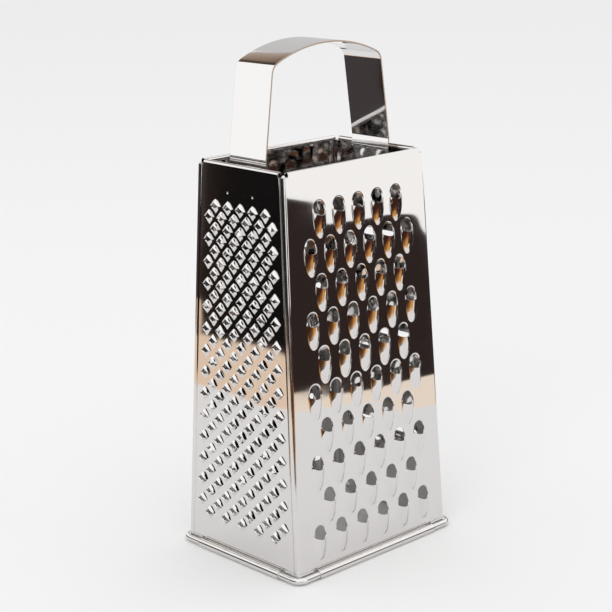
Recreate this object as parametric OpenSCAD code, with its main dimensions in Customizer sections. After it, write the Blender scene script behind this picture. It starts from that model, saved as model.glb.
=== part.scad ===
// Four-sided box grater: four punched sheet panels with folded corner seams,
// a strap handle welded inside the rim and a wire ring held in the curled foot.
// The front panel faces -Y, the star panel faces -X, and Z = 0 is the table.

/* [Body] */
// Width across the foot, over the outer faces of the narrow panels
foot_w = 96; // [88:1:104]
// Depth across the foot, over the outer faces of the wide panels
foot_d = 75; // [70:1:82]
// Width across the rim
rim_w = 86; // [80:1:92]
// Depth across the rim
rim_d = 56; // [52:1:62]
// Height of the rim above the table
rim_h = 182.5; // [170:0.5:200]
// Thickness of the sheet steel
sheet_t = 0.4; // [0.35:0.05:0.45]

/* [Rim and foot] */
// Outside diameter of the roll along the rim
roll_d = 2.4; // [2.1:0.1:2.8]
// Depth of the notch at each corner of the rim
notch_depth = 2.2; // [1.8:0.1:2.6]
// Distance from the corner to the end of the roll on a wide panel
notch_w = 2.3; // [2:0.1:3]
// Diameter of the wire ring in the foot
wire_d = 3; // [2.6:0.1:3.4]
// Radius of the wire's corners, to the middle of the wire
wire_bend_r = 4; // [3.5:0.1:5]
// Distance from the corner to the end of the curl round the wire
curl_stop = 10.5; // [8:0.5:14]
// Radius of the relief cut at the end of each curl
relief_r = 1.2; // [0.8:0.1:1.5]

/* [Corner seams] */
// Width of the band that a wide panel folds onto a narrow panel
seam_w = 3; // [2.8:0.1:3.4]
// Gap between the layers of a folded seam
seam_gap = 0.05; // [0.03:0.01:0.07]
// Slope of the step by which a narrow panel drops behind its seam, in degrees
step_angle = 65; // [55:1:72]

/* [Coarse teeth] */
// Rows of coarse teeth
coarse_rows = 10; // [6:1:10]
// Coarse teeth in a long row
coarse_count = 6; // [4:1:6]
// Height of the first row's lips above the foot wire
coarse_first = 16; // [15:0.5:20]
// Distance from the rim down to the last row's lips
coarse_last = 20.4; // [18:0.1:21]
// Distance from a long row's last tooth to the panel's edge
coarse_margin = 13.8; // [12:0.1:15]
// Width of the hole above a lip
coarse_hole_w = 6.2; // [5.8:0.1:6.6]
// Height of the hole above a lip, as a share of the distance between rows
coarse_hole_share = 0.4; // [0.34:0.01:0.42]
// Length of the scoop below a lip, as a share of the distance between rows
coarse_scoop_share = 0.7; // [0.64:0.01:0.75]
// Height of a lip above the panel
coarse_lip_h = 2.4; // [2:0.1:2.6]
// Half the width of a scoop at its mouth
coarse_mouth_r = 3.6; // [3.5:0.05:3.7]
// Slope of the edge of every lip, coarse and medium, down and out of the panel, in degrees
lip_lean = 24; // [15:1:30]

/* [Medium teeth] */
// Rows of medium teeth
medium_rows = 14; // [8:1:14]
// Medium teeth in a long row
medium_count = 8; // [5:1:8]
// Height of the first row's lips above the foot wire
medium_first = 15; // [14:0.5:18]
// Distance from the rim down to the last row's lips
medium_last = 19; // [17:0.1:20]
// Distance from a long row's last tooth to the panel's edge
medium_margin = 12; // [11:0.1:14]
// Width of the hole above a lip
medium_hole_w = 4; // [3.6:0.1:4.2]
// Height of the hole above a lip, as a share of the distance between rows
medium_hole_share = 0.345; // [0.3:0.005:0.365]
// Length of the scoop below a lip, as a share of the distance between rows
medium_scoop_share = 0.62; // [0.58:0.01:0.65]
// Height of a lip above the panel
medium_lip_h = 1.5; // [1.3:0.1:1.6]
// Half the width of a scoop at its mouth
medium_mouth_r = 2.2; // [2.1:0.05:2.3]

/* [Star burrs] */
// Rows of star burrs
star_rows = 29; // [15:2:29]
// Star burrs in a long row
star_count = 6; // [4:1:6]
// Height of the first row above the foot wire
star_first = 16; // [14:0.5:20]
// Distance from the rim down to the last row
star_last = 19.9; // [18:0.1:24]
// Distance from a long row's last burr to the panel's edge
star_margin = 8.8; // [8:0.1:11]
// Width of a burr's foot, from corner to corner
star_w = 6.4; // [5.6:0.1:6.6]
// Height of a burr's points above the panel
star_h = 1.8; // [1.5:0.1:2]

/* [Slicing slots] */
// Number of slicing slots
slot_count = 3; // [1:1:3]
// Height of the lowest blade above the foot wire
slot_first = 38; // [30:1:44]
// Distance from the rim down to the highest blade
slot_last = 46.7; // [40:0.1:60]
// Straight length of a blade, without its rounded ends
slot_l = 30; // [24:1:31]
// Height of the opening above a blade
slot_open = 4.4; // [4:0.1:5]
// Height of a blade above the panel
slot_lip_h = 2.4; // [2:0.1:2.8]
// Radius to which a blade is dished
slot_dish_r = 12; // [10:0.5:14]

/* [Handle] */
// Height of the handle's crown above the rim
handle_rise = 50.5; // [44:0.5:60]
// Width of the strap
strap_w = 23.4; // [20:0.2:26]
// Thickness of the strap
strap_t = 0.7; // [0.6:0.1:1]
// Outer radius of the crown
crown_r = 73; // [66:1:80]
// Outer radius of the shoulders
shoulder_r = 6; // [4:0.5:8]
// Lean of the legs from upright, in degrees
leg_lean = 8.3; // [7.5:0.1:9]
// Gap between a leg and the rim's roll
leg_gap = 1.2; // [0.8:0.1:1.6]
// Height above the rim at which a leg kinks inward
kink_above = 2.5; // [2:0.1:3]
// Depth below the rim at which it kinks back outward
kink_below = 2.2; // [1.6:0.1:3]
// Distance that a leg steps in between its two kinks
kink_in = 2; // [1:0.1:2.4]
// Depth below the rim at which the foot begins
strap_foot_depth = 9.5; // [8.5:0.5:11]
// Length of the foot that lies on a narrow panel
strap_foot_l = 7; // [6:0.5:10]
// Distance between the two spot welds of a leg
weld_spacing = 16.2; // [12:0.2:18]
// Diameter of a spot weld's dimple
weld_d = 1.6; // [1.2:0.1:2]

/* [Hidden] */
$fn = 40;
// All cuts run past the face that they open by this much
overrun = 1;
// Clearance between pieces that are pressed or welded face to face
fit_gap = 0.05;

wire_r = wire_d / 2;
curl_in = wire_r + fit_gap;
curl_out = curl_in + sheet_t;
wire_z = curl_out;
roll_r = roll_d / 2;
// Share of a full turn that the roll and the curl go round
roll_turn_share = 0.83;
curl_turn_share = 0.8;

// Lean of the panels from upright, and the length of each from the wire to the rim
wide_lean = atan((foot_d - rim_d) / 2 / (rim_h - wire_z));
narrow_lean = atan((foot_w - rim_w) / 2 / (rim_h - wire_z));
function slope_l(lean) = (rim_h - wire_z + curl_in * sin(lean)) / cos(lean);
// Level and half distance apart of the line where a panel runs into its curl
function foot_z(lean) = wire_z - curl_in * sin(lean);
function foot_half(full, lean) = full / 2 + curl_in * sin(lean) * tan(lean);
wide_half = foot_half(foot_w, narrow_lean);
narrow_half = foot_half(foot_d, wide_lean);
wide_taper = atan((foot_w - rim_w) / 2 / slope_l(wide_lean));
narrow_taper = atan((foot_d - rim_d) / 2 / slope_l(narrow_lean));

// Folded seam: four layers of sheet, with a gap between each two
fold_r = (3 * sheet_t + 2 * seam_gap) / 2;
corner_r = fold_r + sheet_t + 2 * seam_gap;
fold_at = seam_w - fold_r;
layer = sheet_t + seam_gap;
step_from = fold_at + (fold_r + seam_gap) * tan(step_angle / 2);
step_to = fold_at + (fold_r + seam_gap + fold_r * cos(step_angle)) / sin(step_angle);
step_mitre = sheet_t * tan(step_angle / 2);
narrow_edge = step_to + step_mitre;
narrow_notch_w = narrow_edge + sheet_t;
corner_low = wire_r + 2 * fit_gap;

// Flat drawing helpers
// Band of a ring from angle a0 to angle a1, less than three quarters of a turn apart
module arc_band(r_out, band, a0, a1) {
    far = 4 * r_out;
    steps = 6;
    fan = [for (i = [0:steps]) let (a = a0 + (a1 - a0) * i / steps) far * [cos(a), sin(a)]];
    intersection() {
        difference() {
            circle(r_out);
            circle(r_out - band);
        }
        polygon(concat([[0, 0]], fan));
    }
}

// Box between two corners of a drawing
module plate_between(x0, x1, y0, y1) {
    translate([x0, y0]) square([x1 - x0, y1 - y0]);
}

// Drawing with x across a panel and y up its slope, made into sheet with its outer face at y = 0
module as_sheet() {
    translate([0, sheet_t, 0]) rotate([90, 0, 0]) linear_extrude(sheet_t) children();
}

// Outline of a panel between its seams, with the rim's notches and the foot's corners cut away
module panel_outline(half, taper, top, edge, notch) {
    low_half = half - (corner_low * tan(taper)) - edge;
    notch_z = top - notch_depth;
    rim_z = top - roll_r;
    notch_half = half - notch_z * tan(taper) - edge;
    roll_half = half - top * tan(taper) - notch;
    curl_half = half - curl_stop;
    difference() {
        polygon([
            [-curl_half, 0], [curl_half, 0], [curl_half, corner_low], [low_half, corner_low],
            [notch_half, notch_z], [roll_half, notch_z], [roll_half, rim_z],
            [-roll_half, rim_z], [-roll_half, notch_z], [-notch_half, notch_z],
            [-low_half, corner_low], [-curl_half, corner_low]
        ]);
        for (side = [-1, 1])
            translate([side * curl_half, corner_low]) circle(relief_r);
    }
}

// Roll along the rim, turned inward and down
module rim_roll(half, taper, top, notch) {
    roll_half = half - top * tan(taper) - notch;
    translate([-roll_half, roll_r, top - roll_r]) rotate([90, 0, 90]) linear_extrude(2 * roll_half)
        arc_band(roll_r, sheet_t, 180 - 360 * roll_turn_share, 180);
}

// Curl along the foot, turned outward and up round the wire
module foot_curl(half) {
    curl_half = half - curl_stop;
    translate([-curl_half, -curl_in, 0]) rotate([90, 0, 90]) linear_extrude(2 * curl_half)
        arc_band(curl_out, sheet_t, -360 * curl_turn_share, 0);
}

// Section of a wide panel's edge: corner bend, band on the narrow side and the hook behind it
module wide_edge_section() {
    plate_between(corner_r, corner_r + overrun, 0, sheet_t);
    translate([corner_r, corner_r]) arc_band(corner_r, sheet_t, 180, 270);
    plate_between(0, sheet_t, corner_r, fold_at);
    translate([fold_r, fold_at]) arc_band(fold_r, sheet_t, 0, 180);
    plate_between(2 * layer, 2 * layer + sheet_t, corner_r, fold_at);
}

// Section of a narrow panel's edge: step down behind the band and the hook inside it
module narrow_edge_section() {
    deep = 3 * layer;
    plate_between(narrow_edge, narrow_edge + overrun, 0, sheet_t);
    polygon([
        [step_from, deep], [step_to, 0], [narrow_edge, 0], [narrow_edge, sheet_t],
        [step_from + step_mitre, deep + sheet_t], [step_from, deep + sheet_t]
    ]);
    plate_between(corner_r, step_from, deep, deep + sheet_t);
    translate([corner_r, layer + fold_r]) arc_band(fold_r, sheet_t, 90, 270);
    plate_between(corner_r, fold_at, layer, layer + sheet_t);
}

// Both edges of a panel, swept along the sloping corners
module panel_edges(half, taper, top) {
    for (side = [0, 1]) mirror([side, 0, 0])
        translate([half, 0, 0]) rotate([0, -taper, 0]) translate([0, 0, corner_low])
            linear_extrude((top - notch_depth) / cos(taper) - corner_low)
                mirror([1, 0]) children();
}

// Panel with its edges, its roll and its curl, less a drawing of what is punched out of it.
// kind 0 is a wide panel and kind 1 a narrow one.
module blank_panel(kind) {
    half = [wide_half, narrow_half][kind];
    taper = [wide_taper, narrow_taper][kind];
    top = slope_l([wide_lean, narrow_lean][kind]);
    edge = [corner_r, narrow_edge][kind];
    notch = [notch_w, narrow_notch_w][kind];
    as_sheet() difference() {
        panel_outline(half, taper, top, edge, notch);
        children();
    }
    panel_edges(half, taper, top) {
        if (kind == 0) wide_edge_section();
        if (kind == 1) narrow_edge_section();
    }
    rim_roll(half, taper, top, notch);
    foot_curl(half);
}

module wide_blank() {
    blank_panel(0) children();
}

module narrow_blank() {
    blank_panel(1) children();
}

// Stands a panel on the foot and leans it inward; turn 0 faces -Y
module stand(out, lean, turn) {
    rotate([0, 0, turn]) translate([0, -out, foot_z(lean)]) rotate([-lean, 0, 0]) children();
}

// Distance between the rows of a pattern whose last row lies a distance below the rim
function row_pitch(top, first, last, rows) = (top - first - last) / max(rows - 1, 1);

// Places of a punched pattern, as [across, up]: rows that fan in with the panel, where the rows
// whose number leaves short_row when halved are a place shorter
function places(half, taper, rows, count, first, pitch, margin, short_row) = [
    for (row = [0:rows - 1])
        let (
            z = first + row * pitch,
            step = 2 * (half - z * tan(taper) - margin) / (count - 1),
            in_row = row % 2 == short_row ? count - 1 : count
        )
        for (i = [0:in_row - 1]) [(i - (in_row - 1) / 2) * step, z]
];

module pattern(half, taper, rows, count, first, pitch, margin, short_row) {
    for (at = places(half, taper, rows, count, first, pitch, margin, short_row))
        translate([at[0], 0, at[1]]) children();
}

module flat_pattern(half, taper, rows, count, first, pitch, margin, short_row) {
    for (at = places(half, taper, rows, count, first, pitch, margin, short_row))
        translate(at) children();
}

// A grating tooth is a hollow cone that leans out of the sheet and is cut off at its mouth.
// At the mouth the cone's axis lies mouth_depth under the outer face.
function mouth_depth(mouth_r, lip_h) = (mouth_r * mouth_r / lip_h - lip_h) / 2;
// Growth of the cone's radius along its axis
flare_share = 0.2;
module tooth_cone(mouth_r, lip_h, scoop_l, wall, above) {
    near_r = mouth_depth(mouth_r, lip_h) + lip_h - wall;
    below = scoop_l + lip_h;
    translate([0, mouth_depth(mouth_r, lip_h), 0]) rotate([atan(lip_h / scoop_l + flare_share), 0, 0])
        translate([0, 0, -below])
            cylinder(r1 = near_r + flare_share * below, r2 = near_r - flare_share * above, h = below + above);
}

module tooth_skin(mouth_r, lip_h, scoop_l) {
    out = 2 * lip_h;
    deep = scoop_l + overrun;
    side = [[sheet_t, 0], [-out, -(out + sheet_t) * tan(lip_lean)], [-out, -deep], [sheet_t, -deep]];
    intersection() {
        tooth_cone(mouth_r, lip_h, scoop_l, 0, mouth_r);
        rotate([90, 0, 90]) linear_extrude(4 * mouth_r, center = true) polygon(side);
    }
}

// Arched hole above a lip
module tooth_hole(mouth_r, hole_w, hole_h) {
    hole_r = hole_w / 2;
    mouth_half = mouth_r - sheet_t;
    translate([0, hole_h - hole_r]) circle(hole_r);
    polygon([[-mouth_half, 0], [mouth_half, 0], [hole_r, hole_h - hole_r], [-hole_r, hole_h - hole_r]]);
}

module toothed_panel(rows, count, first, pitch, margin, mouth_r, lip_h, scoop_l, hole_w, hole_h) {
    difference() {
        union() {
            wide_blank() flat_pattern(wide_half, wide_taper, rows, count, first, pitch, margin, 1)
                tooth_hole(mouth_r, hole_w, hole_h);
            pattern(wide_half, wide_taper, rows, count, first, pitch, margin, 1)
                tooth_skin(mouth_r, lip_h, scoop_l);
        }
        pattern(wide_half, wide_taper, rows, count, first, pitch, margin, 1)
            tooth_cone(mouth_r, lip_h, scoop_l, sheet_t, mouth_r / 2);
    }
}

module coarse_panel() {
    pitch = row_pitch(slope_l(wide_lean), coarse_first, coarse_last, coarse_rows);
    color("silver") stand(narrow_half, wide_lean, 0)
        toothed_panel(coarse_rows, coarse_count, coarse_first, pitch, coarse_margin, coarse_mouth_r,
            coarse_lip_h, coarse_scoop_share * pitch, coarse_hole_w, coarse_hole_share * pitch);
}

module medium_panel() {
    pitch = row_pitch(slope_l(wide_lean), medium_first, medium_last, medium_rows);
    color("gainsboro") stand(narrow_half, wide_lean, 180)
        toothed_panel(medium_rows, medium_count, medium_first, pitch, medium_margin, medium_mouth_r,
            medium_lip_h, medium_scoop_share * pitch, medium_hole_w, medium_hole_share * pitch);
}

// Four-sided spike standing on one corner, cut off at height; foot and top are half sides
module spike(foot, top, height, sink) {
    slope = (foot - top) / height;
    side = [
        [-foot - slope * sink, sink], [-top, -height], [top, -height], [foot + slope * sink, sink]
    ];
    rotate([0, 45, 0]) intersection() {
        translate([0, 0, -2 * foot]) linear_extrude(4 * foot) polygon(side);
        rotate([0, 90, 0]) translate([0, 0, -2 * foot]) linear_extrude(4 * foot) polygon(side);
    }
}

// A star burr is a spike that burst open into four points
burr_foot = star_w / 2 / sqrt(2);
burr_top_share = 0.5;
// Height of the slits between a burr's points, as a share of its height
slit_share = 0.3;
burr_wall = sheet_t / 2;
module burr() {
    top = burr_top_share * burr_foot;
    slit = [[0, -slit_share * star_h], [-top, -star_h - overrun], [top, -star_h - overrun]];
    difference() {
        spike(burr_foot, top, star_h, burr_wall);
        spike(burr_foot - burr_wall, top - burr_wall, star_h, overrun);
        translate([0, -star_h, 0]) rotate([0, 45, 0]) cube(2 * (top - burr_wall), center = true);
        for (turn = [0, 90]) rotate([0, turn, 0])
            translate([0, 0, -star_w]) linear_extrude(2 * star_w) polygon(slit);
    }
}

module burr_hole() {
    rotate(45) square(2 * (burr_foot - burr_wall), center = true);
}

// Dimples that the spot welds of the handle leave in the outer face
module weld_dimples() {
    weld_z = slope_l(narrow_lean) - strap_foot_depth - strap_foot_l / 2;
    for (side = [-1, 1])
        translate([side * weld_spacing / 2, -weld_d / 2 + sheet_t / 2, weld_z]) sphere(d = weld_d);
}

module star_panel() {
    pitch = row_pitch(slope_l(narrow_lean), star_first, star_last, star_rows);
    color("silver") stand(wide_half, narrow_lean, -90) difference() {
        union() {
            narrow_blank() flat_pattern(narrow_half, narrow_taper, star_rows, star_count, star_first,
                pitch, star_margin, 0) burr_hole();
            pattern(narrow_half, narrow_taper, star_rows, star_count, star_first,
                pitch, star_margin, 0) burr();
        }
        weld_dimples();
    }
}

// Dished slot with round ends, cut off at the blade
module slot_dish(wall) {
    translate([0, slot_dish_r - slot_lip_h, 0]) {
        translate([-slot_l / 2, 0, 0]) rotate([0, 90, 0]) cylinder(r = slot_dish_r - wall, h = slot_l);
        for (side = [-1, 1]) translate([side * slot_l / 2, 0, 0]) sphere(slot_dish_r - wall);
    }
}

slot_reach = slot_l / 2 + slot_dish_r + overrun;
module slot_half(low, high, inward) {
    translate([-slot_reach, -2 * slot_lip_h, low]) cube([2 * slot_reach, 2 * slot_lip_h + inward, high - low]);
}

// Opening above a blade, as wide as the blade's dish is at the inner face
module slot_hole() {
    opening_r = slot_open / 2;
    dish_in_r = slot_dish_r - sheet_t;
    mouth_half = slot_l / 2 + sqrt(dish_in_r ^ 2 - (slot_dish_r - slot_lip_h) ^ 2);
    round_at = mouth_half - opening_r;
    plate_between(-mouth_half, mouth_half, 0, opening_r);
    plate_between(-round_at, round_at, 0, slot_open);
    for (side = [-1, 1]) translate([side * round_at, opening_r]) circle(opening_r);
}

module slicer_panel() {
    pitch = row_pitch(slope_l(narrow_lean), slot_first, slot_last, slot_count);
    heights = [for (i = [0:slot_count - 1]) slot_first + i * pitch];
    color("gainsboro") stand(wide_half, narrow_lean, 90) difference() {
        union() {
            narrow_blank() for (z = heights) translate([0, z]) slot_hole();
            for (z = heights) translate([0, 0, z]) intersection() {
                slot_dish(0);
                slot_half(-slot_dish_r, 0, sheet_t);
            }
        }
        for (z = heights) translate([0, 0, z]) intersection() {
            slot_dish(sheet_t);
            slot_half(-slot_dish_r, sheet_t, sheet_t + overrun);
        }
        weld_dimples();
    }
}

// Handle: one path along the outer face, from the feet over the kinks at the rim, with arcs for
// the shoulders and the crown
crown_z = rim_h + handle_rise - crown_r;
leg_x = rim_w / 2 - roll_d - leg_gap;
leg_normal = [cos(leg_lean), sin(leg_lean)];
leg_reach = leg_normal * [leg_x, rim_h];
shoulder_turn = asin((leg_reach - shoulder_r - crown_z * sin(leg_lean)) / (crown_r - shoulder_r)) - leg_lean;
shoulder_at = [0, crown_z] + (crown_r - shoulder_r) * [sin(shoulder_turn), cos(shoulder_turn)];
kink_x = leg_x - kink_above * tan(leg_lean);
// Inner face of a narrow panel at a depth below the rim
function wall_x(depth) = rim_w / 2 + depth * tan(narrow_lean) - sheet_t / cos(narrow_lean) - fit_gap;
// Points along an arc, both ends included
function arc_points(at, r, a0, a1, steps) = [
    for (i = [0:steps]) let (a = a0 + (a1 - a0) * i / steps) at + r * [cos(a), sin(a)]
];
shoulder_steps = 14;
crown_steps = 12;
crown_half = arc_points([0, crown_z], crown_r, 90 - shoulder_turn, 90, crown_steps);
half_path = concat(
    [
        [wall_x(strap_foot_depth + strap_foot_l), rim_h - strap_foot_depth - strap_foot_l],
        [wall_x(strap_foot_depth), rim_h - strap_foot_depth],
        [kink_x - kink_in, rim_h - kink_below],
        [kink_x, rim_h + kink_above]
    ],
    arc_points(shoulder_at, shoulder_r, leg_lean, 90 - shoulder_turn, shoulder_steps),
    [for (i = [1:crown_steps]) crown_half[i]]
);
other_half = [for (i = [len(half_path) - 2:-1:0]) [-half_path[i][0], half_path[i][1]]];
strap_path = concat(half_path, other_half);

// Parallel of a path, on its left, with mitred corners
function unit(v) = v / norm(v);
function left_of(v) = [-v[1], v[0]];
function heading(path, i) = unit(path[min(i + 1, len(path) - 1)] - path[min(i, len(path) - 2)]);
function beside(path, gap) = [
    for (i = [0:len(path) - 1])
        let (a = left_of(heading(path, max(i - 1, 0))), b = left_of(heading(path, i)))
            path[i] + gap * (a + b) / (1 + a * b)
];
function backwards(list) = [for (i = [len(list) - 1:-1:0]) list[i]];

module handle_strap() {
    color("whitesmoke") translate([0, strap_w / 2, 0]) rotate([90, 0, 0]) linear_extrude(strap_w)
        polygon(concat(strap_path, backwards(beside(strap_path, strap_t))));
}

// Wire ring: straight runs and bent corners in one closed loop, set out to the nearest grain
wire_grain_share = 0.01;
function to_grain(v) = round(v / wire_r / wire_grain_share) * wire_r * wire_grain_share;
module base_wire() {
    wire_x = to_grain(wide_half + curl_in * cos(narrow_lean));
    wire_y = to_grain(narrow_half + curl_in * cos(wide_lean));
    run_x = wire_x - wire_bend_r;
    run_y = wire_y - wire_bend_r;
    color("darkgray") translate([0, 0, wire_z]) {
        for (side = [-1, 1]) {
            translate([-run_x, side * wire_y, 0]) rotate([0, 90, 0]) cylinder(r = wire_r, h = 2 * run_x);
            translate([side * wire_x, run_y, 0]) rotate([90, 0, 0]) cylinder(r = wire_r, h = 2 * run_y);
        }
        for (a = [0, 1], b = [0, 1]) mirror([a, 0, 0]) mirror([0, b, 0])
            translate([run_x, run_y, 0]) rotate_extrude(angle = 90) translate([wire_bend_r, 0]) circle(wire_r);
    }
}

coarse_panel();
star_panel();
medium_panel();
slicer_panel();
handle_strap();
base_wire();
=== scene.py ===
# %% [markdown]
# # A box grater in polished steel
# The grater is six pieces of thin stainless steel: four punched panels, a strap handle and a
# wire ring in the foot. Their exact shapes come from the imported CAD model. Here the punched
# panels and the strap are made again as drawn sheet metal, with the soft bends that a press
# leaves, and they get their finishes and a small photo studio, because polished steel shows
# little more than the room that it mirrors.

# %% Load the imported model
import math
import random

import bmesh
import bpy
from mathutils import Matrix, Vector


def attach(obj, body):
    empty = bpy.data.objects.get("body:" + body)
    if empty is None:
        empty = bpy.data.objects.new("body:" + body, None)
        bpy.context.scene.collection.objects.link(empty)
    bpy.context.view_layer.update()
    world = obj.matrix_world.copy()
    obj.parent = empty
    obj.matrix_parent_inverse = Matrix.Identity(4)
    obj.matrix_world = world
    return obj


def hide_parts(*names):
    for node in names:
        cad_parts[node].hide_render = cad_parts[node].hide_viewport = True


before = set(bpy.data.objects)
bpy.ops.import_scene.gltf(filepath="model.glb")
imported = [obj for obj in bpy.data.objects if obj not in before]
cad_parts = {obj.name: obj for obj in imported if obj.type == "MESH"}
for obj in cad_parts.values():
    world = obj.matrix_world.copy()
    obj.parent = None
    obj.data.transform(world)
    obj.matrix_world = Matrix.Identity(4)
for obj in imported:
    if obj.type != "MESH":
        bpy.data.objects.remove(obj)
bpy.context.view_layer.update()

# %% [markdown]
# The camera stands where the photographer's did. The angles and the distance come from the
# lines of the body in the photograph, and the lens is long, so the upright edges stay nearly
# upright.

# %% Camera
AZIMUTH = math.radians(-43.76)
ELEVATION = math.radians(15.087)
ROLL = math.radians(-0.99)
DISTANCE = 0.770
AIM = Vector((0, 0, 0.1113))
LENS_MM, SENSOR_MM = 98.7, 36
FRAME_SHIFT = -0.0132
NEAREST = 0.01

back = Vector((math.sin(AZIMUTH) * math.cos(ELEVATION),
               -math.cos(AZIMUTH) * math.cos(ELEVATION),
               math.sin(ELEVATION)))
level_right = Vector((0, 0, 1)).cross(back).normalized()
level_up = back.cross(level_right)
right = level_right * math.cos(ROLL) + level_up * math.sin(ROLL)
up = level_up * math.cos(ROLL) - level_right * math.sin(ROLL)

bpy.ops.object.select_all(action="DESELECT")
bpy.ops.object.camera_add(location=AIM + back * DISTANCE)
camera = bpy.context.object
camera.rotation_euler = Matrix((right, up, back)).transposed().to_euler()
camera.data.lens = LENS_MM
camera.data.sensor_width = SENSOR_MM
camera.data.shift_x = FRAME_SHIFT
camera.data.clip_start = NEAREST
bpy.context.scene.camera = camera
print("camera at", [round(c, 3) for c in camera.location])

# %% [markdown]
# A material is a small network of nodes. Written as sums and products it reads like the
# formula that it is, so one class wraps a socket and adds the Math node for each operator.
# A second class holds the material, and its one method makes any other node from its type,
# its settings and what goes into its sockets.

# %% Shader maths
class Value:
    """An output socket, with the operators of arithmetic."""

    def __init__(self, paint, socket):
        self.paint, self.socket = paint, socket

    def __add__(self, other):
        return self.paint.math("ADD", self, other)

    def __radd__(self, other):
        return self.paint.math("ADD", other, self)

    def __sub__(self, other):
        return self.paint.math("SUBTRACT", self, other)

    def __rsub__(self, other):
        return self.paint.math("SUBTRACT", other, self)

    def __mul__(self, other):
        return self.paint.math("MULTIPLY", self, other)

    def __rmul__(self, other):
        return self.paint.math("MULTIPLY", other, self)

    def __truediv__(self, other):
        return self.paint.math("DIVIDE", self, other)

    def __rtruediv__(self, other):
        return self.paint.math("DIVIDE", other, self)

    def step_from(self, start, steepness):
        """A mask that is 0 up to a start and then rises to 1."""
        risen = self.paint.math("MINIMUM", (self - start) * steepness, 1.0)
        return self.paint.math("MAXIMUM", risen, 0.0)

    def part(self, axis):
        """One number of a vector: 0, 1 or 2 for x, y or z."""
        return self.paint.node("ShaderNodeSeparateXYZ", {}, {"Vector": self}, axis)

    def ramp(self, *stops):
        """Colour ramp from stops of (position, colour)."""
        return self.paint.node("ShaderNodeValToRGB", {"stops": stops}, {"Fac": self})


class Paint:
    """A material under construction."""

    def __init__(self, name):
        self.material = bpy.data.materials.new(name)
        self.material.use_nodes = True
        self.tree = self.material.node_tree
        self.tree.nodes.clear()
        self.out = self.tree.nodes.new("ShaderNodeOutputMaterial")

    def node(self, kind, settings=None, inputs=None, output=0):
        made = self.tree.nodes.new(kind)
        for key, value in (settings or {}).items():
            if key == "stops":
                while len(made.color_ramp.elements) < len(value):
                    made.color_ramp.elements.new(1)
                for element, (position, colour) in zip(made.color_ramp.elements, value):
                    element.position, element.color = position, (*colour, 1)
            else:
                setattr(made, key, value)
        for key, value in (inputs or {}).items():
            if isinstance(value, Value):
                self.tree.links.new(value.socket, made.inputs[key])
            else:
                made.inputs[key].default_value = value
        return Value(self, made.outputs[output])

    def math(self, operation, *inputs):
        """A Math node; what goes in is a value or a plain number."""
        return self.node("ShaderNodeMath", {"operation": operation}, dict(enumerate(inputs)))

    def place(self):
        """Object coordinates, which stay with the piece."""
        return self.node("ShaderNodeTexCoord", output=3)

    def mix(self, share, first, second):
        """A colour between two others. The colour sockets of a Mix node are numbers 6 and 7."""
        return self.node("ShaderNodeMix", {"data_type": "RGBA"}, {0: share, 6: first, 7: second}, 2)

    def glow(self, colour):
        """Finishes the material as plain light of a colour."""
        return self.finish(self.node("ShaderNodeEmission", {}, {"Color": colour, "Strength": 1.0}))

    def finish(self, shader):
        self.tree.links.new(shader.socket, self.out.inputs["Surface"])
        return self.material


# %% [markdown]
# ## Steel
# Polished stainless steel is a mirror with a slightly warm tint. What makes it read as metal
# sheet are small faults: the sheet is never quite flat, and wiping leaves faint hazy streaks.
# The waves are a bump with a wide noise, and the haze is a noise on the roughness.
#
# Three faults belong to one piece each, and each is a formula on the place in the object:
# - Punching a row of coarse teeth pulls the sheet in, so the wide panel has a shallow dish
#   along each row: a cosine of the height, added to the waves.
# - The strap was cut from sheet by shears, and nobody polished the cut. Its long edges are
#   browner and duller than its faces: a mask on the distance from the middle of the strip.
# - Bending the sheet round the corner stretches its grain, and the folded edge of the wide
#   panel loses some of its polish: a mask that follows the taper of the panel.

# %% Finishes
STREAKS = (60.0, 60.0, 400.0)
SHEARED, SHEAR_STEP, SHEAR_HAZE = (0.42, 0.33, 0.27, 1), 20000.0, 0.22
FOLD_STEP, FOLD_HAZE = 2500.0, 0.10


def steel(name, colour, roughness, wave_height, wave_size, haze, row=None, cut_at=None, fold=None):
    """A steel finish, with its lengths in metres, and the three faults.

    A row is (pitch, height of the first, depth), cut_at is where the sheared edge begins, from
    the middle of the strip, and a fold is (half the width at the foot, taper).
    """
    paint = Paint(name)
    place = paint.place()
    waves = paint.node("ShaderNodeTexNoise", {}, {
        "Vector": place, "Scale": 1 / wave_size, "Detail": 1.0})
    streaks = paint.node("ShaderNodeMapping", {}, {"Vector": place, "Scale": STREAKS})
    smear = paint.node("ShaderNodeTexNoise", {}, {"Vector": streaks, "Scale": 1.0, "Detail": 3.0})
    base, rough = (*colour, 1), roughness + smear * haze
    if row:
        pitch, first, depth = row
        swing = paint.math("COSINE", (place.part(2) - first) * (2 * math.pi / pitch))
        waves = waves - swing * (depth / wave_height)
    if cut_at:
        sheared = paint.math("ABSOLUTE", place.part(1)).step_from(cut_at, SHEAR_STEP)
        base = paint.mix(sheared, base, SHEARED)
        rough = rough + sheared * SHEAR_HAZE
    if fold:
        half, taper = fold
        away = paint.math("ABSOLUTE", place.part(0)) + place.part(2) * taper
        rough = rough + away.step_from(half, FOLD_STEP) * FOLD_HAZE
    normal = paint.node("ShaderNodeBump", {}, {
        "Height": waves, "Distance": wave_height, "Strength": 1.0})
    return paint.finish(paint.node("ShaderNodeBsdfPrincipled", {}, {
        "Base Color": base, "Metallic": 1.0, "Roughness": rough, "Normal": normal}))


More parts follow.
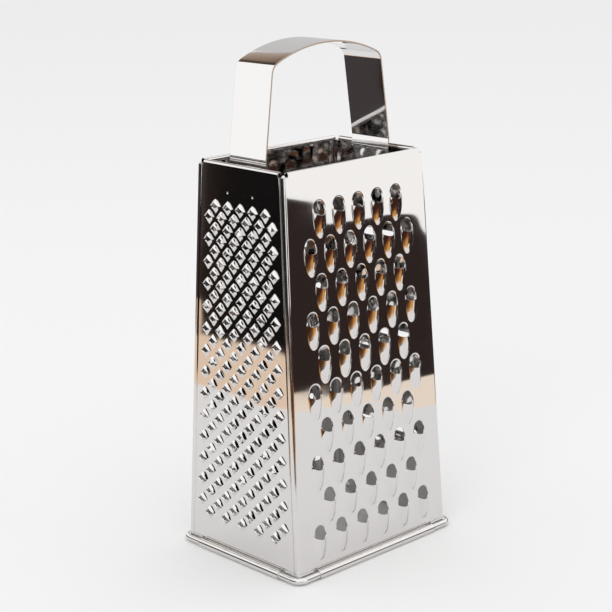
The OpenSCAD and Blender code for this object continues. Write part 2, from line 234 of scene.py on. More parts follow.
# Colour, roughness, height and size of the waves, and haze, of all punched panels
MIRROR = ((0.76, 0.745, 0.735), 0.03, 0.0003, 0.045, 0.025)
PANEL_STEEL = steel("panel_steel_polished", *MIRROR)
COARSE_STEEL = steel("coarse_steel_polished", *MIRROR,
                     row=(0.01600, 0.0200, 0.000018), fold=(0.0470, 0.0276))
STRAP_STEEL = steel("strap_steel_polished", (0.80, 0.79, 0.785), 0.04, 0.0002, 0.03, 0.04,
                    cut_at=0.01158)
WIRE_STEEL = steel("wire_steel_bright", (0.76, 0.75, 0.745), 0.09, 0.0001, 0.01, 0.05)
print("finishes:", PANEL_STEEL.name, COARSE_STEEL.name, STRAP_STEEL.name, WIRE_STEEL.name)

# %% [markdown]
# The slicing panel and the wire ring show their CAD meshes, which are smooth enough as they
# are. They only get their finish.

# %% Finish of the two CAD pieces
for node, material in (("slicer_panel", PANEL_STEEL), ("base_wire", WIRE_STEEL)):
    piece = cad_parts[node]
    piece.data.materials.clear()
    piece.data.materials.append(material)
    print(node, "keeps its mesh, with the finish", material.name)

# %% [markdown]
# ## Panels
# All measures of the CAD source that the punched patterns need are repeated here, in
# millimetres. Each panel has its own flat drawing, with x across it, z up its slope and y
# into the box, and one matrix stands that drawing up in the world.

# %% Measures of the box
FOOT_W, FOOT_D, RIM_W, RIM_D, RIM_H = 96.0, 75.0, 86.0, 56.0, 182.5
SHEET = 0.4
CURL_IN = 1.55
WIRE_Z = CURL_IN + SHEET
MM = 0.001


def lean_of(foot, rim):
    return math.atan((foot - rim) / 2 / (RIM_H - WIRE_Z))


def foot_half(full, lean):
    return full / 2 + CURL_IN * math.sin(lean) * math.tan(lean)


class Panel:
    """One leaning side of the box, with its flat drawing in millimetres."""

    def __init__(self, across, depth, turn):
        (foot, rim), (foot_out, rim_out) = across, depth
        lean, side_lean = lean_of(foot_out, rim_out), lean_of(foot, rim)
        self.half = foot_half(foot, side_lean)
        self.length = (RIM_H - WIRE_Z + CURL_IN * math.sin(lean)) / math.cos(lean)
        self.taper = (foot - rim) / 2 / self.length
        self.place = (Matrix.Rotation(math.radians(turn), 4, "Z")
                      @ Matrix.Translation((0, -foot_half(foot_out, lean) * MM,
                                            (WIRE_Z - CURL_IN * math.sin(lean)) * MM))
                      @ Matrix.Rotation(-lean, 4, "X") @ Matrix.Scale(MM, 4))

    def half_at(self, z):
        return self.half - z * self.taper

    def spots(self, rows, count, first, last, margin, short_row):
        """Places of a pattern: rows that narrow upwards, every other one a place shorter."""
        pitch = (self.length - first - last) / (rows - 1)
        found = []
        for row in range(rows):
            z = first + row * pitch
            step = 2 * (self.half_at(z) - margin) / (count - 1)
            in_row = count - 1 if row % 2 == short_row else count
            found += [((i - (in_row - 1) / 2) * step, z) for i in range(in_row)]
        return found


WIDE, NARROW = (FOOT_W, RIM_W), (FOOT_D, RIM_D)
COARSE_SIDE = Panel(WIDE, NARROW, 0)
MEDIUM_SIDE = Panel(WIDE, NARROW, 180)
STAR_SIDE = Panel(NARROW, WIDE, -90)
print("wide panel", round(COARSE_SIDE.length, 2), "mm up its slope")

# %% [markdown]
# ## Teeth
# A press pierces a hole and pushes the sheet below it outward into a scoop with a sharp lip.
# Cut from a cone, a tooth has hard creases where it meets the sheet. A drawn tooth has none:
# the steel swells out of the flat over a small radius, and the rim of the hole sinks. So one
# tooth is a grid that is wrapped round the hole, from the cut edge to a line on the flat
# sheet, and its height follows a formula, which no single operator could give.

# %% Two modifiers that every new piece gets
def thicken(piece, millimetres):
    """Gives the active piece, a skin, its wall on the inner side."""
    wall = piece.modifiers.new("wall", "SOLIDIFY")
    wall.thickness = millimetres * MM
    wall.offset = -1
    bpy.ops.object.modifier_apply(modifier=wall.name)


def weight_normals(piece):
    """Turns the normals of the active piece to its large faces, so that flats mirror as flats."""
    piece.modifiers.new("weights", "WEIGHTED_NORMAL").keep_sharp = True
    bpy.ops.object.modifier_apply(modifier="weights")


# %% One patch of drawn steel
def smooth(value):
    value = min(max(value, 0.0), 1.0)
    return value * value * (3 - 2 * value)


def between(a, b, share):
    return (a[0] + (b[0] - a[0]) * share, a[1] + (b[1] - a[1]) * share)


def wrapped_patch(name, columns, rings, shape):
    """A grid whose x goes once round a hole and whose y goes from its edge to the flat."""
    bpy.ops.object.select_all(action="DESELECT")
    bpy.ops.mesh.primitive_grid_add(x_subdivisions=columns, y_subdivisions=rings, size=2)
    patch = bpy.context.object
    patch.name = name
    for vertex in patch.data.vertices:
        vertex.co = shape((vertex.co.x + 1) / 2, (vertex.co.y + 1) / 2)
    bpy.ops.object.mode_set(mode="EDIT")
    bpy.ops.mesh.select_all(action="SELECT")
    bpy.ops.mesh.remove_doubles(threshold=1e-4)
    bpy.ops.object.mode_set(mode="OBJECT")
    print(name, "has", len(patch.data.polygons), "faces")
    return patch


# %% [markdown]
# Seen from the front a scoop is a long rounded leaf below an arched hole. Along its middle the
# crest falls evenly from the lip and rounds over near the tip. The sharp lip leans out over
# the hole. Two fifths of the grid's columns go over the arch and the others round the leaf.
# Its rings crowd together at the cut edge, where the steel turns most, and the last of them
# lie flat, so that the patch joins the sheet without a crease.

# %% The shape of a tooth
LIP_LEAN = math.tan(math.radians(28))
TIP_POWER = 2.6
CREST_FALL, CREST_CURVE, CREST_POWER = 0.75, 1.25, 9
ARCH_SHARE = 0.4
FADE_UP = 1.6
CROWDING = 1.6
FLAT_FROM, FLAT_OVER = 0.72, 0.17
DISH_FROM, DISH_OVER, DISH_END, DISH_POWER = 0.3, 2.2, 0.85, 3
EDGE_TRIES = 4


def tooth(mouth, lip, scoop, hole_w, hole_h, margin, sink, soft):
    """Shape of a tooth in millimetres; mouth is half its width, lip is how far it stands out."""
    hole_r = hole_w / 2
    side = hole_h - hole_r
    arch = 2 * side + math.pi * hole_r
    edge = mouth - SHEET / 2

    def above(share, grow):
        """Point on the arch of the hole, from its right foot over the top to its left foot."""
        walked = share * arch
        foot = mouth + grow if grow else edge
        if walked < side:
            return between((foot, 0), (hole_r + grow, side), walked / side)
        if walked > arch - side:
            return between((-foot, 0), (-hole_r - grow, side), (arch - walked) / side)
        angle = (walked - side) / hole_r
        return ((hole_r + grow) * math.cos(angle), side + (hole_r + grow) * math.sin(angle))

    def height(x, z):
        down = max(0, -z) / scoop
        inside = 1 - down ** TIP_POWER
        crest = 1 - CREST_FALL * down ** CREST_CURVE - (1 - CREST_FALL) * down ** CREST_POWER
        rise = lip * (crest - (x / mouth) ** 2 * crest / max(inside, 0.02))
        return (rise + math.hypot(rise, soft)) / 2 * (1 - smooth(z / FADE_UP))

    def shape(turn, ring):
        if turn <= ARCH_SHARE:
            inner, outer = above(turn / ARCH_SHARE, 0), above(turn / ARCH_SHARE, margin)
        else:
            angle = (turn - ARCH_SHARE) / (1 - ARCH_SHARE) * math.pi
            across, down = -math.cos(angle), math.sin(angle)
            x, z = edge * across, 0.0
            for _ in range(EDGE_TRIES):
                z = -LIP_LEAN * height(x, z)
            inner = (x, z)
            outer = ((mouth + margin) * across, -(scoop + margin) * max(down, 0) ** (2 / TIP_POWER))
        x, z = between(inner, outer, 1 - (1 - ring) ** CROWDING)
        swell = height(x, z) * (1 - smooth((ring - FLAT_FROM) / FLAT_OVER))
        dish = 0
        if ring < DISH_END:
            dish = sink * (1 - ring) ** DISH_POWER * smooth((z - DISH_FROM) / DISH_OVER)
        return Vector((x, dish - swell, z))

    return shape


# %% [markdown]
# The star burrs are made from behind: a square point is driven through the sheet, and the
# steel tears open. The side corners tear widest and stand lowest, and the leaf below the hole
# stays longest. A burr is repeated more than a hundred times, so it has only sixteen points
# on its edge, each given as how far out it lies and how high it stands. No two real burrs tear
# alike, so each copy is turned and stretched a little, from a fixed seed.

# %% The shape of a star burr
UPPER_EDGE = ((0.86, 0.40), (0.78, 0.58), (0.73, 0.70), (0.71, 0.76), (0.69, 0.78))
LOWER_EDGE = ((0.64, 0.56), (0.50, 0.68), (0.43, 0.72), (0.40, 0.72))
BURR_EDGE = UPPER_EDGE + UPPER_EDGE[-2::-1] + LOWER_EDGE + LOWER_EDGE[-2::-1]
BURR_SLOPE = ((0.0, 1.0), (0.34, 0.72), (0.72, 0.3), (1.03, 0.0))
LAST_RING = 0.9


def star_burr(foot, rise, margin):
    """Shape of a burr in millimetres; foot is half of its square, from corner to corner."""

    def shape(turn, ring):
        step = round(turn * len(BURR_EDGE)) % len(BURR_EDGE)
        corner, along = divmod(step / 4, 1)
        here = (math.cos(corner * math.pi / 2), math.sin(corner * math.pi / 2))
        after = (math.cos((corner + 1) * math.pi / 2), math.sin((corner + 1) * math.pi / 2))
        x, z = between(here, after, along)
        inner, high = BURR_EDGE[step]
        if ring > LAST_RING:
            reach, share = foot + margin, 0.0
        else:
            out, share = BURR_SLOPE[round(ring * len(BURR_SLOPE))]
            reach = foot * (inner + (1 - inner) * out)
        return Vector((x * reach, -rise * high * share, z * reach))

    return shape


# %% [markdown]
# The edges of each panel, with their folded seams, the roll along the rim and the curl round
# the wire, keep their exact shape. A copy of the CAD panel is merged, cut along four lines
# and loses its punched middle. The new middle is filled in between that cut, with the same
# points on it, and the outlines of all the teeth. This is bmesh work, because one fill has to
# join a hundred outlines that come from copies of one patch, and no operator takes them all.
# A Solidify modifier gives the middle the sheet's thickness, its walls on the cut are taken
# out, and the two parts are joined and merged. On the outer face they share every point of the
# cut. On the inner face they only lie edge to edge along it, without a gap.

# %% The edges of a panel
WELD = 2e-6
CUT_MM, FLAT_MM = 0.01, 1e-7
# Reach of the punched middle outside and inside the flat, in millimetres
MIDDLE_OUT, MIDDLE_IN = 6, 2
# Degrees that a wear of 1 would turn a copy
WEAR_TURN = 30
EDGE_CREASE, MIDDLE_CREASE = math.radians(34), math.radians(42)


def delete_faces(piece, doomed):
    """Deletes the faces of the active piece whose middle passes a test."""
    bpy.ops.object.mode_set(mode="EDIT")
    bpy.ops.mesh.select_mode(type="FACE")
    bpy.ops.mesh.select_all(action="DESELECT")
    bpy.ops.object.mode_set(mode="OBJECT")
    for face in piece.data.polygons:
        face.select = doomed(face.center)
    bpy.ops.object.mode_set(mode="EDIT")
    bpy.ops.mesh.delete(type="FACE")
    bpy.ops.object.mode_set(mode="OBJECT")


def panel_edges_of(node, panel, low, high, edge):
    """Merged copy of a CAD panel without its punched middle."""
    bpy.ops.object.select_all(action="DESELECT")
    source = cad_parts[node]
    source.select_set(True)
    bpy.context.view_layer.objects.active = source
    bpy.ops.object.duplicate()
    piece = bpy.context.object
    for key in list(piece.keys()):
        if key.startswith("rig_"):
            del piece[key]
    piece.parent = None
    piece.name = node + "_polished"
    bpy.ops.mesh.customdata_custom_splitnormals_clear()
    slope = Vector((-1, 0, -panel.taper)).normalized()
    cuts = [((0, 0, low), (0, 0, 1)), ((0, 0, high), (0, 0, 1)),
            ((panel.half - edge, 0, 0), (-slope.x, 0, -slope.z)),
            ((edge - panel.half, 0, 0), (slope.x, 0, -slope.z))]
    turned = panel.place.to_3x3()
    bpy.ops.object.mode_set(mode="EDIT")
    bpy.ops.mesh.select_all(action="SELECT")
    bpy.ops.mesh.remove_doubles(threshold=WELD)
    for point, across in cuts:
        bpy.ops.mesh.select_all(action="SELECT")
        bpy.ops.mesh.bisect(plane_co=panel.place @ Vector(point),
                            plane_no=(turned @ Vector(across)).normalized())
    bpy.ops.object.mode_set(mode="OBJECT")
    flat = panel.place.inverted()

    def in_middle(point):
        point = flat @ point
        return (low < point.z < high and abs(point.x) < panel.half_at(point.z) - edge
                and -MIDDLE_OUT < point.y < MIDDLE_IN)

    delete_faces(piece, in_middle)
    bpy.ops.object.shade_smooth_by_angle(angle=EDGE_CREASE)
    return piece


# %% The middle of a panel
def fill_middle(node, panel, edges, patch, spots, lift, wear):
    """Mesh of the punched middle, flat in its drawing: patches, and the sheet between them."""
    flat = panel.place.inverted()
    middle = bmesh.new()
    chance = random.Random(node)
    for x, z in spots:
        one = patch.data.copy()
        turned = Matrix.Rotation(math.radians(chance.uniform(-1, 1) * wear * WEAR_TURN), 4, "Y")
        higher = Matrix.Diagonal((1, 1 + chance.uniform(-1, 1) * wear, 1, 1))
        one.transform(Matrix.Translation((x, 0, z + lift)) @ turned @ higher)
        middle.from_mesh(one)
        bpy.data.meshes.remove(one)
    outlines = [line for line in middle.edges
                if line.is_boundary and all(abs(v.co.y) < FLAT_MM for v in line.verts)]
    rest = bmesh.new()
    rest.from_mesh(edges.data)
    welded = {}
    for line in rest.edges:
        ends = [flat @ v.co for v in line.verts]
        if line.is_boundary and all(abs(end.y) < CUT_MM / 2 for end in ends):
            pair = []
            for vertex, end in zip(line.verts, ends):
                if vertex.index not in welded:
                    welded[vertex.index] = middle.verts.new((end.x, 0, end.z))
                pair.append(welded[vertex.index])
            outlines.append(middle.edges.new(pair))
    rest.free()
    before = len(middle.faces)
    bmesh.ops.triangle_fill(middle, edges=outlines, use_beauty=True, normal=(0, -1, 0))
    bmesh.ops.recalc_face_normals(middle, faces=middle.faces)
    if sum(face.normal.y * face.calc_area() for face in middle.faces) > 0:
        bmesh.ops.reverse_faces(middle, faces=middle.faces)
    print(node, "middle:", len(spots), "places,", before, "drawn faces,",
          len(middle.faces) - before, "flat")
    mesh = bpy.data.meshes.new(node + "_middle")
    middle.to_mesh(mesh)
    middle.free()
    mesh.transform(panel.place)
    return mesh


# %% A whole panel
def punched_panel(node, panel, patch, spots, lift, wear, low, high, edge, finish=PANEL_STEEL):
    """Panel with its patches; wear is how far they are turned and how unevenly they stand."""
    piece = panel_edges_of(node, panel, low, high, edge)
    flat = panel.place.inverted()
    mesh = fill_middle(node, panel, piece, patch, spots, lift, wear)
    sheet = bpy.data.objects.new(node + "_middle", mesh)
    bpy.context.scene.collection.objects.link(sheet)
    bpy.ops.object.select_all(action="DESELECT")
    sheet.select_set(True)
    bpy.context.view_layer.objects.active = sheet
    thicken(sheet, SHEET)

    def wall_on_cut(point):
        point = flat @ point
        on_cut = (abs(point.z - low) < CUT_MM or abs(point.z - high) < CUT_MM
                  or abs(abs(point.x) - panel.half_at(point.z) + edge) < CUT_MM)
        return on_cut and abs(point.y - SHEET / 2) < 2 * CUT_MM

    delete_faces(sheet, wall_on_cut)
    bpy.ops.object.shade_smooth_by_angle(angle=MIDDLE_CREASE)
    piece.select_set(True)
    bpy.context.view_layer.objects.active = piece
    bpy.ops.object.join()
    bpy.ops.object.mode_set(mode="EDIT")
    bpy.ops.mesh.select_all(action="SELECT")
    bpy.ops.mesh.remove_doubles(threshold=WELD)
    bpy.ops.object.mode_set(mode="OBJECT")
    weight_normals(piece)
    piece.data.materials.clear()
    piece.data.materials.append(finish)
    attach(piece, "root")
    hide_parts(node)
    print(piece.name, "has", len(piece.data.polygons), "faces")
    return piece


# %% [markdown]
# Now the three panels. The wide ones differ only in the size and number of their teeth. Few
# columns are enough for the small teeth and the burrs, and the large ones near the camera
# get more.

# %% Coarse panel
coarse_spots = COARSE_SIDE.spots(rows=10, count=6, first=16, last=20.4, margin=13.8, short_row=1)
coarse_tooth = wrapped_patch("coarse_tooth", 50, 11, tooth(
    mouth=3.6, lip=2.38, scoop=11.3, hole_w=6.2, hole_h=4.9, margin=0.7, sink=0.16, soft=0.2))
punched_panel("coarse_panel", COARSE_SIDE, coarse_tooth, coarse_spots, lift=1.0, wear=0.04,
              low=3.2, high=172.5, edge=6, finish=COARSE_STEEL)

# %% Medium panel
medium_spots = MEDIUM_SIDE.spots(rows=14, count=8, first=15, last=19, margin=12, short_row=1)
medium_tooth = wrapped_patch("medium_tooth", 20, 7, tooth(
    mouth=2.2, lip=1.48, scoop=7.1, hole_w=4.0, hole_h=3.2, margin=0.5, sink=0.1, soft=0.15))
punched_panel("medium_panel", MEDIUM_SIDE, medium_tooth, medium_spots, lift=0.5, wear=0.04,
              low=3.2, high=172.5, edge=6)

# %% Star panel
star_spots = STAR_SIDE.spots(rows=29, count=6, first=16, last=19.9, margin=8.8, short_row=0)
burr = wrapped_patch("star_burr", len(BURR_EDGE), len(BURR_SLOPE), star_burr(3.2, 1.8, 0.3))
punched_panel("star_panel", STAR_SIDE, burr, star_spots, lift=0.0, wear=0.12,
              low=6, high=166.5, edge=4.4)

for patch in (coarse_tooth, medium_tooth, burr):
    bpy.data.objects.remove(patch)

# %% [markdown]
# ## Strap
# The handle is one strip of thicker steel, bent over a former. On the real one each bend has
# a small radius, so the strip is a grid that is laid along the path of the CAD strap, with
# its kinks rounded, then thickened, and its long edges are broken by a fine bevel. A curve
# with a bevel profile could make it too, but a grid keeps the faces square to the strip, and
# these give the cleanest reflections.
#
# The path goes up the inside of one narrow panel, over a kink above the rim, up the leaning
# leg, round the shoulder and over the crown. The other half is its mirror image.

# %% Path of the strap
STRAP_W, STRAP_T = 23.4, 0.7
CROWN_R, SHOULDER_R, LEG_LEAN = 73.0, 6.0, math.radians(8.3)
HANDLE_RISE = 50.5
CROWN_Z = RIM_H + HANDLE_RISE - CROWN_R
ROLL_D, LEG_GAP, WALL_GAP = 2.4, 1.2, 0.05
LEG_X = RIM_W / 2 - ROLL_D - LEG_GAP
FOOT_LOW, FOOT_HIGH = 16.5, 9.5
KINK_LOW, KINK_HIGH, KINK_IN = 2.2, 2.5, 2
BEND_R, BEND_STEPS = 1.6, 5
SHOULDER_STEPS, CROWN_STEPS = 24, 32
ACROSS, BROKEN_EDGE = 6, 0.09
BREAK_FROM, STRAP_CREASE = math.radians(60), math.radians(50)


def wall_x(depth):
    """Inner face of the narrow panels at a depth below the rim."""
    lean = lean_of(FOOT_W, RIM_W)
    return RIM_W / 2 + depth * math.tan(lean) - SHEET / math.cos(lean) - WALL_GAP


def rounded(points, radius, steps):
    """The path with its inner corners replaced by arcs."""
    done = [points[0]]
    for before, corner, after in zip(points, points[1:], points[2:]):
        a, b = (before - corner).normalized(), (after - corner).normalized()
        half = a.angle(b) / 2
        reach = radius / math.tan(half)
        centre = corner + (a + b).normalized() * radius / math.sin(half)
        start, end = corner + a * reach - centre, corner + b * reach - centre
        done += [centre + start.slerp(end, i / steps) for i in range(steps + 1)]
    return done + [points[-1]]


def strap_path():
    """Half of the strap's outer face, from the right foot to the top, as (x, z)."""
    normal = Vector((math.cos(LEG_LEAN), math.sin(LEG_LEAN)))
    reach = normal.dot(Vector((LEG_X, RIM_H)))
    across = (reach - SHOULDER_R - CROWN_Z * math.sin(LEG_LEAN)) / (CROWN_R - SHOULDER_R)
    turn = math.asin(across) - LEG_LEAN
    crown = Vector((0, CROWN_Z))
    shoulder = crown + (CROWN_R - SHOULDER_R) * Vector((math.sin(turn), math.cos(turn)))
    kink_x = LEG_X - KINK_HIGH * math.tan(LEG_LEAN)
    corners = [Vector((wall_x(FOOT_LOW), RIM_H - FOOT_LOW)),
               Vector((wall_x(FOOT_HIGH), RIM_H - FOOT_HIGH)),
               Vector((kink_x - KINK_IN, RIM_H - KINK_LOW)),
               Vector((kink_x, RIM_H + KINK_HIGH)),
               shoulder + SHOULDER_R * normal]
    path = rounded(corners, BEND_R, BEND_STEPS)
    arcs = ((shoulder, SHOULDER_R, LEG_LEAN, math.pi / 2 - turn - LEG_LEAN, SHOULDER_STEPS),
            (crown, CROWN_R, math.pi / 2 - turn, turn, CROWN_STEPS))
    for centre, radius, start, sweep, steps in arcs:
        for i in range(1, steps + 1):
            angle = start + sweep * i / steps
            path.append(centre + radius * Vector((math.cos(angle), math.sin(angle))))
    return path


# %% Strap
half_path = strap_path()
whole_path = half_path + [Vector((-p.x, p.y)) for p in reversed(half_path[:-1])]
bpy.ops.object.select_all(action="DESELECT")
bpy.ops.mesh.primitive_grid_add(x_subdivisions=len(whole_path) - 1, y_subdivisions=ACROSS, size=2)
strap = bpy.context.object
strap.name = "handle_strap_polished"
for vertex in strap.data.vertices:
    point = whole_path[round((vertex.co.x + 1) / 2 * (len(whole_path) - 1))]
    vertex.co = Vector((point.x, vertex.co.y * STRAP_W / 2, point.y)) * MM
bpy.ops.object.mode_set(mode="EDIT")
bpy.ops.mesh.select_all(action="SELECT")
bpy.ops.mesh.normals_make_consistent(inside=False)
bpy.ops.object.mode_set(mode="OBJECT")
outward = sum(face.normal.dot(face.center - Vector((0, 0, RIM_H * MM))) * face.area
              for face in strap.data.polygons)
if outward < 0:
    strap.data.flip_normals()
thicken(strap, STRAP_T)
soft = strap.modifiers.new("broken_edges", "BEVEL")
soft.width = BROKEN_EDGE * MM
soft.segments = 2
soft.limit_method = "ANGLE"
soft.angle_limit = BREAK_FROM
bpy.ops.object.modifier_apply(modifier="broken_edges")
bpy.ops.object.shade_smooth_by_angle(angle=STRAP_CREASE)
weight_normals(strap)
strap.data.materials.append(STRAP_STEEL)
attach(strap, "root")
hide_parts("handle_strap")
print("strap has", len(strap.data.polygons), "faces")

# %% [markdown]
# ## Studio
# The grater stands on a sheet of pale paper. Beyond the paper the photographer's table and
# the dark room show in the steel, but not in the picture. They are cards that only glossy
# rays see. The lamps are wide and soft.
#
# The paper is a little lighter to the camera than to the light, by Light Path's first output,
# so that the background stays pale while the steel is lit at a plain level.

# %% Floor
def flat_card(name, corners, material):
    mesh = bpy.data.meshes.new(name)
    mesh.from_pydata([Vector(c) for c in corners], [], [list(range(len(corners)))])
    card = bpy.data.objects.new(name, mesh)
    bpy.context.scene.collection.objects.link(card)
    mesh.materials.append(material)
    print("card", name, "with", len(corners), "corners")
    return card


paper = Paint("paper")
seen = paper.node("ShaderNodeLightPath")
shade = paper.mix(seen, (0.93, 0.925, 0.925, 1), (0.955, 0.955, 0.955, 1))
PAPER = paper.finish(paper.node("ShaderNodeBsdfDiffuse", {}, {"Color": shade}))
FLOOR_HALF = 12.0
flat_card("floor", [(x * FLOOR_HALF, y * FLOOR_HALF, 0)
                    for x, y in ((-1, -1), (1, -1), (1, 1), (-1, 1))], PAPER)

# %% [markdown]
# A card is a single face with a plain light on it. Compass angles are in degrees, with 0
# towards +X and 90 towards +Y, and distances are in metres from the middle of the grater.

# %% Cards that only the steel sees
def only_mirrored(card):
    for ray in ("camera", "diffuse", "shadow", "transmission", "volume_scatter"):
        setattr(card, "visible_" + ray, False)
    return card


def around(angle, distance, height=0.0):
    a = math.radians(angle)
    return Vector((math.cos(a) * distance, math.sin(a) * distance, height))


def standing_shape(name, angle, distance, outline, material):
    """A cut-out that faces the grater from a compass angle, drawn as (across, height)."""
    middle, across = around(angle, distance), around(angle + 90, 1.0)
    return only_mirrored(flat_card(
        name, [middle + across * x + Vector((0, 0, z)) for x, z in outline], material))


def standing_card(name, angle, distance, left, right, low, high, material):
    """A rectangle that faces the grater, with its reach to both sides of the compass angle."""
    outline = [(-left, low), (right, low), (right, high), (-left, high)]
    return standing_shape(name, angle, distance, outline, material)


def lying_card(name, corners, height, material):
    """A card on the paper, its corners given as (compass angle, distance)."""
    return only_mirrored(flat_card(
        name, [around(angle, distance, height) for angle, distance in corners], material))


def table_sector(name, start, stop, near, far, height, material):
    """A part of the table beyond the paper, between two compass angles."""
    steps = 16
    angles = [start + (stop - start) * i / steps for i in range(steps + 1)]
    corners = [(a, near) for a in angles] + [(a, far) for a in reversed(angles)]
    return lying_card(name, corners, height, material)


# %% [markdown]
# Most of the room is one even shade a card. The pale table is lit from the front and falls
# off to orange and brown with the distance, which the scoops of the coarse teeth show, and a
# wall or a ceiling changes along one axis.

# %% Light of the room
def glow(name, colour):
    return Paint(name).glow((*colour, 1))


def table_glow(name, by_distance, by_angle, shade):
    """Light of the table: a ramp by distance, fading into a shade by compass angle."""
    paint = Paint(name)
    place = paint.place()
    x, y = place.part(0), place.part(1)
    lit = paint.math("SQRT", x * x + y * y).ramp(*by_distance)
    circle = paint.math("ARCTAN2", y, x) / (2 * math.pi) + 0.5
    share = circle.ramp(*[((a + 180) / 360, (s, s, s)) for a, s in by_angle])
    return paint.glow(paint.mix(share, (*shade, 1), lit))


def ramped_glow(name, axis, *stops):
    """Light of a wall that changes along one axis, with its stops in metres."""
    paint = Paint(name)
    return paint.glow(paint.place().part(axis).ramp(*stops))


DARK = glow("dark_room", (0.032, 0.022, 0.020))
BROWN = glow("brown_table_edge", (0.075, 0.028, 0.016))
DUSK = glow("grey_room", (0.056, 0.046, 0.047))
TAN = glow("pale_table", (0.92, 0.70, 0.53))
CREAM = glow("cream_strip", (1.0, 0.86, 0.73))
BRIGHT = glow("bright_wall", (1.15, 1.14, 1.13))
GREY = glow("grey_wall", (0.62, 0.61, 0.61))
NIGHT = ramped_glow("dark_side", 1,
                    (0.24, (0.005, 0.005, 0.0055)), (0.32, (0.009, 0.0075, 0.007)),
                    (0.345, (0.026, 0.017, 0.014)))
CLAY = ramped_glow("warm_ceiling", 2,
                   (0.655, (0.50, 0.45, 0.42)), (0.69, (0.42, 0.33, 0.26)),
                   (0.74, (0.27, 0.19, 0.14)), (0.85, (0.09, 0.065, 0.05)),
                   (1.0, (0.05, 0.04, 0.035)))
LIT_TABLE = table_glow("lit_table_front",
                       by_distance=((0.235, (0.93, 0.86, 0.79)), (0.262, (0.92, 0.66, 0.44)),
                                    (0.292, (0.74, 0.36, 0.10)), (0.375, (0.66, 0.30, 0.08)),
                                    (0.425, (0.26, 0.08, 0.03)), (0.50, (0.06, 0.024, 0.016)),
                                    (0.80, (0.045, 0.020, 0.016))),
                       by_angle=((-150, 0.0), (-122, 0.12), (-104, 0.5), (-92, 1.0), (-40, 1.0)),
                       shade=(0.045, 0.018, 0.013))
print("shades of the room:", ", ".join(
    m.name for m in (DARK, BROWN, DUSK, TAN, CREAM, BRIGHT, GREY, NIGHT, CLAY, LIT_TABLE)))

# %% [markdown]
# The first cards give the wide panel its black middle and the cream strip below it. The dark
# floor and the low wall farther round darken the right flanks of the scoops and the fold
# behind them.
#
# The star side is black above and tan below, with edges that slant in the picture as the foot
# of that side does. An edge slants so in a flat mirror when it runs parallel to the mirror, so
# these cards stand or lie parallel to the star side, and only the shaded room farther back,
# which shows in the handle, is turned.

# %% Room at the right
standing_shape("dark_right", -63, 0.345, [
    (-0.030, 0), (0.139, 0), (0.139, 0.086), (0.135, 0.097), (0.126, 0.106),
    (0.108, 0.110), (0.066, 0.110), (0.058, 0.122), (0.030, 0.134), (-0.030, 0.134)], DARK)
lying_card("cream_right", [(-59, 0.311), (-59, 0.352), (-41, 0.375), (-41, 0.293)], 0.0004, CREAM)
table_sector("dark_east_floor", -39.8, 30, 0.29, 0.70, 0.0006, DARK)
table_sector("dark_north_floor", 30, 78, 0.29, 0.45, 0.0006, DARK)
standing_card("dark_east", 20, 0.37, 0.59, 0.12, 0.0, 0.105, DARK)

# %% Room at the left
standing_card("dark_left", 180, 0.316, 0.343, 0.10, 0.0, 0.165, NIGHT)
standing_card("wood_end", 180, 0.317, 0.362, -0.343, 0.0, 0.024, TAN)
standing_card("grey_left", 132, 0.475, 0.40, 0.40, 0.0, 0.165, DUSK)
lying_card("wood_left", [(192, 0.231), (110, 0.660), (135, 0.877), (184.6, 0.622)], 0.0004, TAN)

# %% [markdown]
# The table before the camera is bright near the paper and brown farther off, which gives the
# scoops their orange and brown. Low brown cards close it off at its ends.

# %% Room at the front
lying_card("lit_front", [
    (-69, 0.235), (-60, 0.36), (-60, 0.78), (-90, 0.78), (-120, 0.78), (-150, 0.78), (-178, 0.78),
    (-160, 0.235), (-140, 0.235), (-120, 0.235), (-100, 0.235), (-84, 0.235)], 0.0003, LIT_TABLE)
standing_card("brown_south", -110, 0.76, 0.36, 0.50, 0.0, 0.12, BROWN)
lying_card("brown_far", [(-58, 0.56), (-38, 0.56), (-38, 0.88), (-58, 0.88)], 0.0005, BROWN)
standing_card("brown_west", -168, 0.36, 0.28, 0.20, 0.0, 0.05, BROWN)

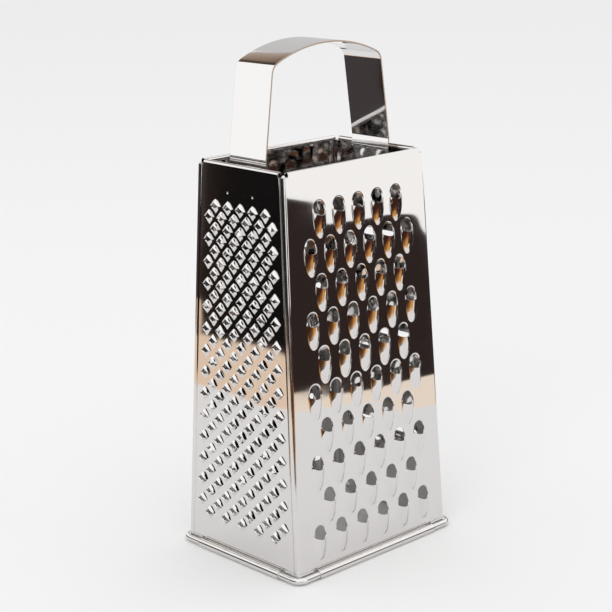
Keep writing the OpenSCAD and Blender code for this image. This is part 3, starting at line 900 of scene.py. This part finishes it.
# %% [markdown]
# Twelve white walls stand round all of it, as a photographer's tent does. The grey wall behind
# shades the crown of the strap. The warm ceiling above that wall shows where the strap bends
# down, and as a thin line on the rolled rim and the curled foot.

# %% Walls and ceiling
for turn in range(0, 360, 30):
    standing_card("white_wall", turn, 0.80, 0.22, 0.22, 0.0, 1.1, BRIGHT)
standing_card("grey_behind", 46, 0.75, 0.30, 0.34, 0.16, 0.66, GREY)
standing_card("clay_above", 76, 0.72, 0.42, 0.30, 0.655, 1.25, CLAY)

# %% [markdown]
# Two wide lamps lay a soft shadow on the paper. The steel doesn't mirror them, because they
# would show in it as two hard bright squares.

# %% Light
def lamp(name, location, size, power, aim=(0, 0, 0.1)):
    bpy.ops.object.select_all(action="DESELECT")
    bpy.ops.object.light_add(type="AREA", location=location)
    made = bpy.context.object
    made.name = name
    made.data.shape = "RECTANGLE"
    made.data.size, made.data.size_y = size
    made.data.energy = power
    made.visible_glossy = False
    made.rotation_euler = (Vector(location) - Vector(aim)).to_track_quat("Z", "Y").to_euler()
    print("lamp", name, "with", power, "W")


lamp("top", (-0.3, -0.2, 2.2), (1.6, 1.6), 3)
lamp("front_left", (-1.9, -0.9, 1.1), (1.2, 1.4), 7)

# %% [markdown]
# The world gives the even light of a white tent. Glossy rays see it a little brighter than
# white, as a lit wall is, and the paper is lit by it at a plain level.

# %% World
WORLD_LIGHT, WORLD_MIRRORED = 0.87, 1.20
world = bpy.data.worlds.new("studio")
bpy.context.scene.world = world
world.use_nodes = True
tree = world.node_tree
background = tree.nodes["Background"]
background.inputs["Color"].default_value = (1, 1, 1, 1)
rays = tree.nodes.new("ShaderNodeLightPath")
level = tree.nodes.new("ShaderNodeMath")
level.operation = "MULTIPLY_ADD"
level.inputs[1].default_value = WORLD_MIRRORED - WORLD_LIGHT
level.inputs[2].default_value = WORLD_LIGHT
tree.links.new(rays.outputs["Is Glossy Ray"], level.inputs[0])
tree.links.new(level.outputs[0], background.inputs["Strength"])

bpy.context.scene.view_settings.view_transform = "Standard"
print("world at", WORLD_LIGHT, "and in the steel at", WORLD_MIRRORED)
